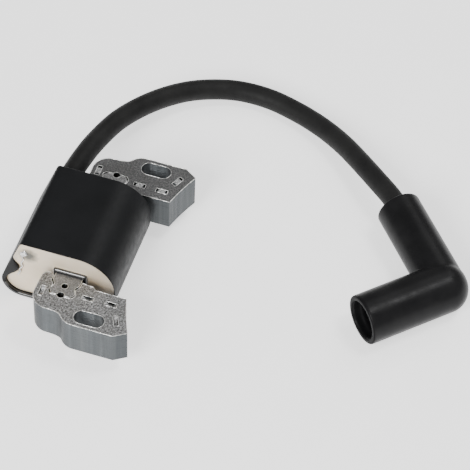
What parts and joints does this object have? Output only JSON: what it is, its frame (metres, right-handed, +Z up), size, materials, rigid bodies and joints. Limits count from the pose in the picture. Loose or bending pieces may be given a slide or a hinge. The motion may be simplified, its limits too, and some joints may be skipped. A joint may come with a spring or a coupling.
{
  "type": "ignition coil",
  "caption": "Small-engine ignition coil: laminated pole legs on a core bar through a potted coil case, with a spark plug lead and a rubber elbow boot.",
  "frame": {"origin": "on the resting surface, under the middle of the coil's bounding box without the lead and boot", "axes": "+X along the pole legs towards the flywheel, +Y along the core bar from the near leg to the far leg, +Z up through the thickness of the steel stack"},
  "size_m": [0.1429, 0.1266, 0.0267],
  "materials": {
    "laminated_steel": "punched sheet steel, satin, with bright burrs on the cut edges",
    "case_plastic": "moulded black nylon, semi-gloss",
    "potting_resin": "cast ivory resin, slightly glossy",
    "bobbin_plastic": "moulded black, glossy",
    "enamelled_wire": "enamelled copper wire",
    "board_laminate": "green circuit board laminate",
    "resistor_body": "tan lacquer",
    "spring_steel": "bright spring steel",
    "solder": "bright tin solder",
    "boot_rubber": "moulded black rubber, semi-matte",
    "lead_rubber": "extruded black rubber, matte"
  },
  "bodies": {
    "coil": {"near_pole_leg": "laminated_steel", "far_pole_leg": "laminated_steel", "core_bar": "laminated_steel", "coil_case": "case_plastic", "potting_resin": "potting_resin", "primary_bobbin": "bobbin_plastic", "primary_winding": "enamelled_wire", "secondary_bobbin": "potting_resin", "secondary_winding_1": "enamelled_wire", "secondary_winding_2": "enamelled_wire", "secondary_winding_3": "enamelled_wire", "secondary_winding_4": "enamelled_wire", "secondary_winding_5": "enamelled_wire", "circuit_board": "board_laminate", "switching_transistor": "bobbin_plastic", "trigger_coil": "enamelled_wire", "board_resistor": "resistor_body", "board_diode": "bobbin_plastic", "high_tension_terminal": "spring_steel", "high_tension_link_wire": "enamelled_wire", "primary_link_wire": "enamelled_wire", "stop_terminal_pin": "spring_steel", "terminal_solder": "solder", "stop_wire_tail": "solder", "lead_insulation": "lead_rubber", "lead_conductor": "enamelled_wire"},
    "boot": {"spark_boot": "boot_rubber", "plug_terminal_spring": "spring_steel"}
  },
  "joints": [
    {"name": "boot_swivel", "type": "hinge", "parent": "coil", "child": "boot", "pos_m": [0.11086, 0.024, 0.0083], "axis": [-0.653, 0.7565, 0.0349], "continuous": true}
  ]
}
